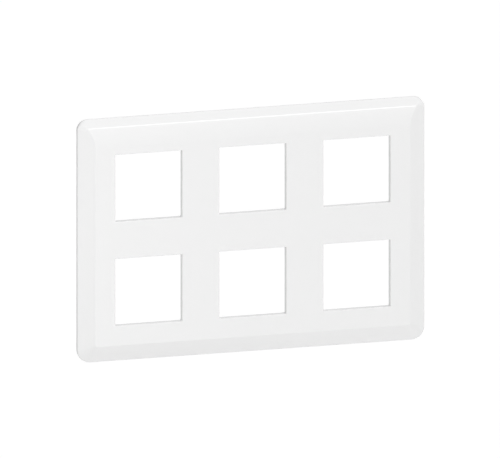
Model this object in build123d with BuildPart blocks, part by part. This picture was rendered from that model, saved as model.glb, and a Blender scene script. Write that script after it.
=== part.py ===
from build123d import *
from math import atan2, tan
import os

# Cover plate for a wall box that holds six 45 mm wiring modules, three across and two high.
# It is one hollow moulding: a face with six square windows, bevelled at the sides and bottom,
# rolled back to a ridge at the top, with window collars, ribs and snap legs on its hidden side.
# Frame in millimetres: X runs right along the wall, Y into the wall, Z up.
# The origin is on the wall face, at the centre of the group of windows.
# A depth is a distance in front of the wall, so it points along -Y.

# Window grid
columns = 3
rows = 2
gang_pitch = 71.0
window_side = 45.6
window_corner_radius = 0.5
window_edge_radius = 0.3

# Outline, from the outermost window edges
side_margin = 24.6
top_margin = 23.8
bottom_margin = 25.1
top_corner_radius = 7.3
bottom_corner_radius = 8.7
face_corner_radius = 1.3

# Section from the wall to the face
plate_depth = 7.8
side_rim = 2.7
side_bevel_width = 11.0
bottom_bevel_width = 11.6
crease_radius = 1.0
rim_edge_radius = 0.5

# Ridge along the top, and the slope behind it
roll_height = 13.6
ridge_setback = 2.4
ridge_drop = 5.3
ridge_radius = 3.0
top_rim = 1.0
ridge_end_radius = 1.0
corner_lead = 0.2

# Extra material that later cuts take off
top_overrun = 1.0
cut_allowance = 0.05

# Hollow side
wall = 2.0
collar_wall = 1.6
collar_depth = 4.4
rib_thickness = 1.2
rib_height = 1.6

# Snap legs that hold the plate on its mounting frame
leg_width = 8.0
leg_thickness = 1.4
leg_gap = 2.6
leg_setback = 0.6
catch_reach = 0.7
catch_height = 1.6

# Notch in the lower rim, for prising the plate off
notch_width = 12.0
notch_height = 1.3

# Places that follow from the sizes
grid_width = (columns - 1) * gang_pitch + window_side
grid_height = (rows - 1) * gang_pitch + window_side
plate_width = grid_width + 2 * side_margin
plate_top = grid_height / 2 + top_margin
plate_bottom = -grid_height / 2 - bottom_margin
bevel_depth = plate_depth - side_rim
ridge_depth = plate_depth - ridge_setback
ridge_height = plate_top - ridge_drop
roll_start = ridge_height - roll_height
inner_face = plate_depth - wall
rooting = wall / 2
column_centres = [(column - (columns - 1) / 2) * gang_pitch for column in range(columns)]
row_centres = [(row - (rows - 1) / 2) * gang_pitch for row in range(rows)]
tolerance = 0.001


def outline(depth, half_width, bottom, top, bottom_radius, top_radius):
    """Outline of the plate at this depth, with rounded corners."""
    with BuildSketch(Plane.XZ.offset(depth)) as rounded:
        with Locations((0, bottom)):
            Rectangle(2 * half_width, top - bottom, align=(Align.CENTER, Align.MIN))
        fillet(rounded.vertices().group_by(Axis.Y)[0], bottom_radius)
        fillet(rounded.vertices().group_by(Axis.Y)[-1], top_radius)
    return rounded.sketch


def bevel_share(depth):
    """Share of the bevels that lies behind this depth."""
    return max(0, depth - side_rim) / bevel_depth


def slope_top(depth):
    """Height of the plate's top at this depth, or of the slope's plane in front of the ridge."""
    return plate_top - max(0, depth - top_rim) / (ridge_depth - top_rim) * ridge_drop


def lower_form():
    """Form with the bevels and the lower corners, whose radii grow from the face to the rim."""
    with BuildPart() as form:
        for depth in (0, side_rim, plate_depth):
            bottom = plate_bottom + bevel_share(depth) * bottom_bevel_width
            with BuildSketch(Plane.XZ.offset(depth)) as level:
                with Locations((0, bottom)):
                    Rectangle(plate_width - 2 * bevel_share(depth) * side_bevel_width,
                              slope_top(depth) + top_overrun - bottom, align=(Align.CENTER, Align.MIN))
                fillet(level.vertices().group_by(Axis.Y)[0],
                       max(face_corner_radius, (1 - bevel_share(depth)) * bottom_corner_radius))
        loft(ruled=True)
    return form.part


def upper_form():
    """Form with the upper corners, whose radii grow from the ridge to the rim."""
    corner_depth = ridge_depth + corner_lead
    with BuildPart() as form:
        for depth in (0, top_rim, side_rim, corner_depth, plate_depth):
            unrounded = max(0, depth - top_rim) / (corner_depth - top_rim)
            with BuildSketch(Plane.XZ.offset(depth)) as level:
                with Locations((0, slope_top(depth) + cut_allowance)):
                    Rectangle(plate_width + 2 * (cut_allowance - bevel_share(depth) * side_bevel_width),
                              2 * (plate_top - plate_bottom), align=(Align.CENTER, Align.MAX))
                fillet(level.vertices().group_by(Axis.Y)[-1],
                       max(ridge_end_radius, (1 - unrounded) * top_corner_radius))
        loft(ruled=True)
    return form.part


def side_form(inset):
    """Long bar with the plate's side section, moved in by inset."""
    ridge = (-ridge_depth, ridge_height)
    with BuildPart() as bar:
        with BuildSketch(Plane.YZ) as section:
            with BuildLine():
                face = Line((-plate_depth, plate_bottom), (-plate_depth, roll_start))
                roll = TangentArc(face @ 1, ridge, tangent=face % 1)
                Polyline(roll @ 1, (-top_rim, plate_top), (inset, plate_top),
                         (inset, plate_bottom), face @ 0)
            make_face()
            fillet(section.vertices().sort_by_distance(ridge)[0], ridge_radius)
            if inset:
                offset(amount=-inset, kind=Kind.INTERSECTION, mode=Mode.REPLACE)
        extrude(amount=plate_width, both=True)
    return bar.part


def rolled_bar():
    """Long bar with the face and the roll, which runs on straight past the ridge."""
    with BuildPart() as bar:
        with BuildSketch(Plane.YZ):
            with BuildLine():
                face = Line((-plate_depth, plate_bottom), (-plate_depth, roll_start))
                roll = TangentArc(face @ 1, (-ridge_depth, ridge_height), tangent=face % 1)
                beyond = Line(roll @ 1, roll @ 1 + roll % 1 * (ridge_drop + 2 * top_overrun))
                Polyline(beyond @ 1, (0, (beyond @ 1).Y), (0, plate_bottom), face @ 0)
            make_face()
        extrude(amount=plate_width, both=True)
    return bar.part


def edges_at(form, depth):
    """Edges of the form at this depth, except for the topmost."""
    level = form.edges().filter_by(lambda edge: abs(edge.center().Y + depth) < tolerance)
    return level.sort_by(Axis.Z)[:-1]


def outer_form():
    """Solid outer form, with its creases, its ridge and the front edge of its rim rounded."""
    with BuildPart() as form:
        add(lower_form())
        add(rolled_bar(), mode=Mode.INTERSECT)
        sides = form.edges().filter_by(lambda edge: abs(edge.center().X) > grid_width / 2)
        # On both sides the roll ends at a curved edge, and past the ridge at a straight one.
        roll_ends = sides.filter_by(lambda edge: edge.center().Z > roll_start).sort_by(Axis.Y)[:4]
        fillet(edges_at(form, plate_depth) + roll_ends, crease_radius)
        fillet(edges_at(form, side_rim), rim_edge_radius)
        add(upper_form(), mode=Mode.INTERSECT)
        add(side_form(0), mode=Mode.INTERSECT)
    return form.part


def inner_form(inset):
    """Solid form that lies this far inside the outer one."""
    side_slant = atan2(bevel_depth, side_bevel_width)
    bottom_slant = atan2(bevel_depth, bottom_bevel_width)
    side_across = side_bevel_width - inset * (1 - tan(side_slant / 2))
    bottom_across = bottom_bevel_width - inset * (1 - tan(bottom_slant / 2))
    rim = side_rim - inset * tan(atan2(side_bevel_width, bevel_depth) / 2)
    top = plate_top - inset
    bottom = plate_bottom + inset
    half_width = plate_width / 2 - inset
    with BuildPart() as form:
        for depth in (0, rim):
            add(outline(depth, half_width, bottom, top,
                        bottom_corner_radius - inset, top_corner_radius - inset))
        add(outline(plate_depth - inset, half_width - side_across, bottom + bottom_across, top,
                    face_corner_radius, top_corner_radius - inset))
        loft(ruled=True)
        add(side_form(inset), mode=Mode.INTERSECT)
    return form.part


def window_block(near, far, margin):
    """Block through every window, grown by margin, from one depth to another."""
    side = window_side + 2 * margin
    with BuildPart() as block:
        with BuildSketch(Plane.XZ.offset(near)):
            with GridLocations(gang_pitch, gang_pitch, columns, rows):
                RectangleRounded(side, side, window_corner_radius + margin)
        extrude(amount=far - near)
    return block.part


def hooked_legs():
    """Snap legs above and below every window, each with its catch turned away from the window."""
    near = window_side / 2 + leg_gap
    far = near + leg_thickness
    root = -inner_face - rooting
    with BuildPart() as legs:
        with BuildSketch(*[Plane.YZ.offset(x) for x in column_centres]):
            for z in row_centres:
                for side in (1, -1):
                    with BuildLine():
                        Polyline((root, z + side * near),
                                 (-leg_setback, z + side * near),
                                 (-leg_setback, z + side * (near + leg_thickness / 2)),
                                 (-leg_setback - catch_height / 2, z + side * (far + catch_reach)),
                                 (-leg_setback - catch_height, z + side * far),
                                 (root, z + side * far),
                                 close=True)
                    make_face()
        extrude(amount=leg_width / 2, both=True)
    return legs.part


def stiffening_ribs():
    """Ribs on the back of the face, along the middle of every row and column."""
    with BuildPart() as ribs:
        with BuildSketch(Plane.XZ.offset(inner_face - rib_height)):
            for z in row_centres:
                with Locations((0, z)):
                    Rectangle(plate_width, rib_thickness)
            for x in column_centres:
                with Locations((x, 0)):
                    Rectangle(rib_thickness, 2 * (plate_top - plate_bottom))
        extrude(amount=rib_height + rooting)
        add(inner_form(rooting), mode=Mode.INTERSECT)
    return ribs.part


with BuildPart() as cover_plate:
    add(outer_form())
    add(inner_form(wall), mode=Mode.SUBTRACT)
    add(stiffening_ribs())
    add(hooked_legs())
    add(window_block(plate_depth - collar_depth, inner_face + rooting, collar_wall))
    add(window_block(0, plate_depth, 0), mode=Mode.SUBTRACT)
    front_edges = cover_plate.faces().sort_by(Axis.Y)[0].inner_wires().edges()
    fillet(front_edges, window_edge_radius)
    with BuildSketch(Plane.XY.offset(plate_bottom)):
        Rectangle(notch_width, 2 * notch_height)
    extrude(amount=2 * wall, mode=Mode.SUBTRACT)

cover_plate.part.label = "cover_plate"
os.makedirs("parts", exist_ok=True)
export_step(cover_plate.part, "parts/cover_plate.step")
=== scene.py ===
"""Looks of a six-window cover plate: moulded white plastic in plain studio light."""

import logging
from dataclasses import dataclass, field
from enum import Enum
from math import cos, pi, radians, sin

import bpy
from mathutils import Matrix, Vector


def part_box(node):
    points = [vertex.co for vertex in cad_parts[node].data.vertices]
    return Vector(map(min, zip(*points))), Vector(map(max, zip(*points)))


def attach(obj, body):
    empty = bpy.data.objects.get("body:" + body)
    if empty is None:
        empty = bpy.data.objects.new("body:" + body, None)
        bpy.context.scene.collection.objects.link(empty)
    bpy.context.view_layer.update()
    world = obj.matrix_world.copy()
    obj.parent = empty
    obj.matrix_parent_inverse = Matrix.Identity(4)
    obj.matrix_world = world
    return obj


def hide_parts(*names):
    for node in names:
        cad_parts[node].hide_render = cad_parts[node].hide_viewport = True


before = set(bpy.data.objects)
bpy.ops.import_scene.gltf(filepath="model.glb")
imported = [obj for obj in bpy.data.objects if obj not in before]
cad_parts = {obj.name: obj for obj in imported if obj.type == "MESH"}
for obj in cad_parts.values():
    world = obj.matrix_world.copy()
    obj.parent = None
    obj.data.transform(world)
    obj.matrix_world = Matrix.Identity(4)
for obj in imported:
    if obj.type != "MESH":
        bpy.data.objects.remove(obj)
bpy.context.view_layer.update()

LOG = logging.getLogger("cover_plate")
NODE = "cover_plate"
BODY = "root"
MM = 0.001
WHITE = (1.0, 1.0, 1.0, 1.0)
RESIN_DETAIL = {"Flow": 2.0, "Grain": 3.0}


class Side(Enum):
    """Side of the moulding that a finish is for."""

    SHOWN = "shown"
    HIDDEN = "hidden"


def resin_group() -> bpy.types.NodeTree:
    """Builds the effect that both finishes use: slow flow clouds and a fine moulded grain.

    Returns:
        The node group, with a vector and two scales in, and two values from 0 to 1 out.
    """
    group = bpy.data.node_groups.new("moulded_resin", "ShaderNodeTree")
    face = group.interface
    face.new_socket("Vector", in_out="INPUT", socket_type="NodeSocketVector")
    for name in RESIN_DETAIL:
        face.new_socket(f"{name} Scale", in_out="INPUT", socket_type="NodeSocketFloat")
        face.new_socket(name, in_out="OUTPUT", socket_type="NodeSocketFloat")
    nodes, links = group.nodes, group.links
    entry = nodes.new("NodeGroupInput")
    result = nodes.new("NodeGroupOutput")
    for name, detail in RESIN_DETAIL.items():
        noise = nodes.new("ShaderNodeTexNoise")
        noise.inputs["Detail"].default_value = detail
        links.new(entry.outputs["Vector"], noise.inputs["Vector"])
        links.new(entry.outputs[f"{name} Scale"], noise.inputs["Scale"])
        links.new(noise.outputs["Fac"], result.inputs[name])
    return group


def reckon(tree: bpy.types.NodeTree, operation: str,
           *terms: float | bpy.types.NodeSocket) -> bpy.types.NodeSocket:
    """Adds one step of arithmetic to a node tree.

    Args:
        tree: The node tree.
        operation: What is done with the terms, as a math node calls it.
        terms: The numbers or sockets that go in.

    Returns:
        The socket that the answer comes out of.
    """
    step = tree.nodes.new("ShaderNodeMath")
    step.operation = operation
    for term, entry in zip(terms, step.inputs):
        if isinstance(term, bpy.types.NodeSocket):
            tree.links.new(term, entry)
        else:
            entry.default_value = term
    return step.outputs["Value"]


def seen_directly(tree: bpy.types.NodeTree) -> bpy.types.NodeSocket:
    """Tells the rays of the camera, mirror images and see-through things from the rest.

    Args:
        tree: The node tree that needs to know.

    Returns:
        A value of 1 for such a ray, and 0 for a ray that carries light.
    """
    path = tree.nodes.new("ShaderNodeLightPath").outputs
    mirrored = reckon(tree, "MAXIMUM", path["Is Glossy Ray"], path["Is Transmission Ray"])
    return reckon(tree, "MAXIMUM", path["Is Camera Ray"], mirrored)


@dataclass(frozen=True)
class PlasticFinish:
    """Finish of the white plastic on one side of the moulding.

    Attributes:
        name: Name of the material.
        pale: Brightness where the resin flowed last, the same in red, green and blue.
        deep: Brightness where it flowed first.
        smooth: Lowest roughness.
        rough: Highest roughness.
        grain_scale: Grain bumps for each metre.
        grain_height: Height of the grain, in metres.
        flow_scale: Flow clouds for each metre.
        ior: Index of refraction.
    """

    name: str
    pale: float
    deep: float
    smooth: float
    rough: float
    grain_scale: float
    grain_height: float
    flow_scale: float = 60.0
    ior: float = 1.5

    def material(self, resin: bpy.types.NodeTree) -> bpy.types.Material:
        """Builds the material.

        Args:
            resin: The shared flow and grain effect.

        Returns:
            The material.
        """
        made = bpy.data.materials.new(self.name)
        made.use_nodes = True
        nodes, links = made.node_tree.nodes, made.node_tree.links
        shader = nodes["Principled BSDF"]
        shader.inputs["IOR"].default_value = self.ior
        place = nodes.new("ShaderNodeTexCoord")
        effect = nodes.new("ShaderNodeGroup")
        effect.node_tree = resin
        effect.inputs["Flow Scale"].default_value = self.flow_scale
        effect.inputs["Grain Scale"].default_value = self.grain_scale
        links.new(place.outputs["Object"], effect.inputs["Vector"])
        tint = nodes.new("ShaderNodeMix")
        tint.data_type = "RGBA"
        tint.inputs["A"].default_value = (self.deep, self.deep, self.deep, 1.0)
        tint.inputs["B"].default_value = (self.pale, self.pale, self.pale, 1.0)
        links.new(effect.outputs["Flow"], tint.inputs["Factor"])
        links.new(tint.outputs["Result"], shader.inputs["Base Color"])
        gloss = nodes.new("ShaderNodeMapRange")
        gloss.inputs["To Min"].default_value = self.smooth
        gloss.inputs["To Max"].default_value = self.rough
        links.new(effect.outputs["Flow"], gloss.inputs["Value"])
        links.new(gloss.outputs["Result"], shader.inputs["Roughness"])
        bump = nodes.new("ShaderNodeBump")
        bump.inputs["Distance"].default_value = self.grain_height
        links.new(effect.outputs["Grain"], bump.inputs["Height"])
        links.new(bump.outputs["Normal"], shader.inputs["Normal"])
        return made


@dataclass
class Moulding:
    """The plate itself, as a smoothly shaded copy of the moulding in the frame.

    Attributes:
        finishes: Finish of each side.
        seam: Distance within which loose corners are joined, in metres.
        sharp: Angle past which an edge stays crisp, in degrees.
        clearance: Distance off a face at which a look towards the front begins, in metres.
        piece: The plate's object, once it is built.
    """

    finishes: dict[Side, PlasticFinish]
    seam: float = 0.001 * MM
    sharp: float = 23.0
    clearance: float = 0.01 * MM
    piece: bpy.types.Object = field(init=False)

    def build(self) -> None:
        """Copies the moulding, joins its loose triangles and smooths its curved faces."""
        self.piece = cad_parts[NODE].copy()
        self.piece.data = self.piece.data.copy()
        self.piece.name = "moulded_plate"
        self.piece.parent = None
        bpy.context.scene.collection.objects.link(self.piece)
        bpy.ops.object.select_all(action="DESELECT")
        self.piece.select_set(True)
        bpy.context.view_layer.objects.active = self.piece
        bpy.ops.object.mode_set(mode="EDIT")
        bpy.ops.mesh.select_all(action="SELECT")
        bpy.ops.mesh.remove_doubles(threshold=self.seam)
        bpy.ops.object.mode_set(mode="OBJECT")
        bpy.ops.object.shade_smooth_by_angle(angle=radians(self.sharp))
        weigh = self.piece.modifiers.new("even_shading", "WEIGHTED_NORMAL")
        weigh.keep_sharp = True
        bpy.ops.object.modifier_apply(modifier=weigh.name)

    def dress(self, resin: bpy.types.NodeTree) -> None:
        """Gives every face the finish of its side.

        A face is on the hidden side if the plastic covers it from the front.

        Args:
            resin: The shared flow and grain effect.
        """
        order = list(self.finishes)
        self.piece.data.materials.clear()
        for side in order:
            self.piece.data.materials.append(self.finishes[side].material(resin))
        outward = Vector((0.0, -1.0, 0.0))
        for polygon in self.piece.data.polygons:
            start = polygon.center + self.clearance * polygon.normal
            covered = self.piece.ray_cast(start, outward)[0]
            polygon.material_index = order.index(Side.HIDDEN if covered else Side.SHOWN)

    def place(self) -> None:
        """Seats the piece in the frame, in place of the plain moulding."""
        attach(self.piece, BODY)
        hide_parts(NODE)


@dataclass(frozen=True)
class Viewpoint:
    """Camera in parallel projection, aimed beside the middle of the plate's face.

    Attributes:
        azimuth: Its direction left of the plate, in degrees.
        elevation: Its direction above the plate, in degrees.
        distance: Its distance from the point that it is aimed at, in metres.
        field_width: Width of its view, in metres.
        aim_right: How far right of the face's middle it is aimed, in metres.
        aim_up: How far above the face's middle it is aimed, in metres.
    """

    azimuth: float = 15.2
    elevation: float = 15.2
    distance: float = 1.5
    field_width: float = 0.32927
    aim_right: float = -1.94 * MM
    aim_up: float = 1.22 * MM

    def build(self) -> None:
        """Sets up the camera as the scene's own."""
        turn, rise = radians(self.azimuth), radians(self.elevation)
        back = Vector((-sin(turn) * cos(rise), -cos(turn) * cos(rise), sin(rise)))
        right = Vector((cos(turn), -sin(turn), 0.0))
        up = back.cross(right)
        face = Vector((0.0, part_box(NODE)[0].y, 0.0))
        aim = face + self.aim_right * right + self.aim_up * up
        data = bpy.data.cameras.new("camera")
        data.type = "ORTHO"
        data.ortho_scale = self.field_width
        camera = bpy.data.objects.new("camera", data)
        camera.location = aim + self.distance * back
        camera.rotation_euler = (-back).to_track_quat("-Z", "Y").to_euler()
        bpy.context.scene.collection.objects.link(camera)
        bpy.context.scene.camera = camera


@dataclass(frozen=True)
class Softbox:
    """Soft rectangular lamp that faces the middle of the windows.

    Attributes:
        name: Name of the lamp.
        place: Its middle, in metres.
        size: Its width and height, in metres.
        radiance: Its brightness, where 1 is a white surface in full light.
        spread: Angle that its light stays within, in degrees.
    """

    name: str
    place: tuple[float, float, float]
    size: tuple[float, float]
    radiance: float
    spread: float = 180.0

    def build(self) -> None:
        """Hangs the lamp."""
        data = bpy.data.lights.new(self.name, "AREA")
        data.shape = "RECTANGLE"
        data.size, data.size_y = self.size
        data.spread = radians(self.spread)
        data.energy = self.radiance * pi * data.size * data.size_y
        light = bpy.data.objects.new(self.name, data)
        light.location = self.place
        light.rotation_euler = (-light.location).to_track_quat("-Z", "Y").to_euler()
        light.visible_camera = False
        bpy.context.scene.collection.objects.link(light)


@dataclass(frozen=True)
class Surround:
    """Even light from all round, which looks plain white and fades away from the front.

    Attributes:
        ambient: Strength of the light before anything is lost.
        side_loss: Strength lost straight to the left and the right.
        dim_way: Direction behind the plate in which the most is lost.
        dim_loss: Strength lost in that direction.
        sky_loss: Strength lost straight overhead.
    """

    ambient: float = 1.143
    side_loss: float = 0.73
    dim_way: tuple[float, float, float] = (-0.35, 1.0, -0.15)
    dim_loss: float = 0.8
    sky_loss: float = 0.27

    def strength(self, tree: bpy.types.NodeTree) -> bpy.types.NodeSocket:
        """Works out how strong the light is from each direction.

        Args:
            tree: The world's node tree.

        Returns:
            The socket that the strength comes out of.
        """
        way = tree.nodes.new("ShaderNodeTexCoord").outputs["Generated"]
        split = tree.nodes.new("ShaderNodeSeparateXYZ")
        tree.links.new(way, split.inputs["Vector"])
        behind = tree.nodes.new("ShaderNodeVectorMath")
        behind.operation = "DOT_PRODUCT"
        behind.inputs[1].default_value = Vector(self.dim_way).normalized()
        tree.links.new(way, behind.inputs[0])
        sideways = reckon(tree, "MULTIPLY", split.outputs["X"], split.outputs["X"])
        dimmed = reckon(tree, "MAXIMUM", behind.outputs["Value"], 0.0)
        raised = reckon(tree, "MAXIMUM", split.outputs["Z"], 0.0)
        level = reckon(tree, "MULTIPLY_ADD", sideways, -self.side_loss, self.ambient)
        level = reckon(tree, "MULTIPLY_ADD", dimmed, -self.dim_loss, level)
        level = reckon(tree, "MULTIPLY_ADD", raised, -self.sky_loss, level)
        return reckon(tree, "MAXIMUM", level, 0.0)

    def build(self) -> None:
        """Makes the surround the scene's world."""
        world = bpy.data.worlds.new("even_light")
        world.use_nodes = True
        tree = world.node_tree
        nodes, links = tree.nodes, tree.links
        light = nodes["Background"]
        light.inputs["Color"].default_value = WHITE
        links.new(self.strength(tree), light.inputs["Strength"])
        white = nodes.new("ShaderNodeBackground")
        white.inputs["Color"].default_value = WHITE
        choose = nodes.new("ShaderNodeMixShader")
        links.new(seen_directly(tree), choose.inputs["Fac"])
        links.new(light.outputs["Background"], choose.inputs[1])
        links.new(white.outputs["Background"], choose.inputs[2])
        links.new(choose.outputs["Shader"], nodes["World Output"].inputs["Surface"])
        bpy.context.scene.world = world


@dataclass(frozen=True)
class Floor:
    """Pale floor, which reads white and keeps the plate's shadow.

    Attributes:
        drop: Its depth below the middle of the windows, in metres.
        size: Length of its sides, in metres.
        pale: Its brightness, the same in red, green and blue.
        roughness: Its roughness.
        lift: Brightness that it gains where it is looked at directly.
    """

    drop: float = 1.0
    size: float = 12.0
    pale: float = 0.8
    roughness: float = 0.9
    lift: float = 0.47

    def material(self) -> bpy.types.Material:
        """Builds the floor's material.

        Returns:
            The material.
        """
        made = bpy.data.materials.new("pale_floor")
        made.use_nodes = True
        tree = made.node_tree
        shader = tree.nodes["Principled BSDF"]
        shader.inputs["Base Color"].default_value = (self.pale, self.pale, self.pale, 1.0)
        shader.inputs["Roughness"].default_value = self.roughness
        shader.inputs["Emission Color"].default_value = WHITE
        lift = reckon(tree, "MULTIPLY", seen_directly(tree), self.lift)
        tree.links.new(lift, shader.inputs["Emission Strength"])
        return made

    def build(self) -> None:
        """Lays the floor."""
        bpy.ops.object.select_all(action="DESELECT")
        bpy.ops.mesh.primitive_plane_add(size=self.size, location=(0.0, 0.0, -self.drop))
        floor = bpy.context.active_object
        floor.name = "floor"
        floor.data.materials.append(self.material())


@dataclass(frozen=True)
class Studio:
    """Camera, lamps, surround and floor round the plate.

    Attributes:
        viewpoint: The camera.
        lamps: The softboxes. The rear one lights nothing but the hidden side.
        surround: The world's light.
        floor: The floor.
    """

    viewpoint: Viewpoint = Viewpoint()
    lamps: tuple[Softbox, ...] = (
        Softbox("high_front", (0.68, -1.79, 1.607), (1.0, 0.5), 10.0),
        Softbox("near_left", (-0.41, -0.34, 0.0), (0.3, 0.4), 0.98),
        Softbox("low_front", (0.5, -0.35, -0.9), (0.8, 0.5), 0.95),
        Softbox("rear", (0.45, 2.4, -0.5), (0.4, 0.4), 0.9, spread=25.0),
    )
    surround: Surround = Surround()
    floor: Floor = Floor()

    def build(self) -> None:
        """Sets up the whole studio."""
        self.viewpoint.build()
        for lamp in self.lamps:
            lamp.build()
        self.surround.build()
        self.floor.build()


def main() -> None:
    """Builds the plate and the studio."""
    logging.basicConfig(level=logging.INFO, format="%(name)s: %(message)s")
    bpy.context.scene.view_settings.view_transform = "Standard"
    resin = resin_group()
    plate = Moulding({
        Side.SHOWN: PlasticFinish("polished_white", pale=0.841, deep=0.833, smooth=0.24, rough=0.26,
                                  grain_scale=900.0, grain_height=0.002 * MM),
        Side.HIDDEN: PlasticFinish("satin_white", pale=0.83, deep=0.81, smooth=0.45, rough=0.55,
                                   grain_scale=1400.0, grain_height=0.01 * MM),
    })
    plate.build()
    plate.dress(resin)
    plate.place()
    LOG.info("plate: %d faces", len(plate.piece.data.polygons))
    studio = Studio()
    studio.build()
    LOG.info("studio: camera, floor and %d lamps", len(studio.lamps))


if __name__ == "__main__":
    main()
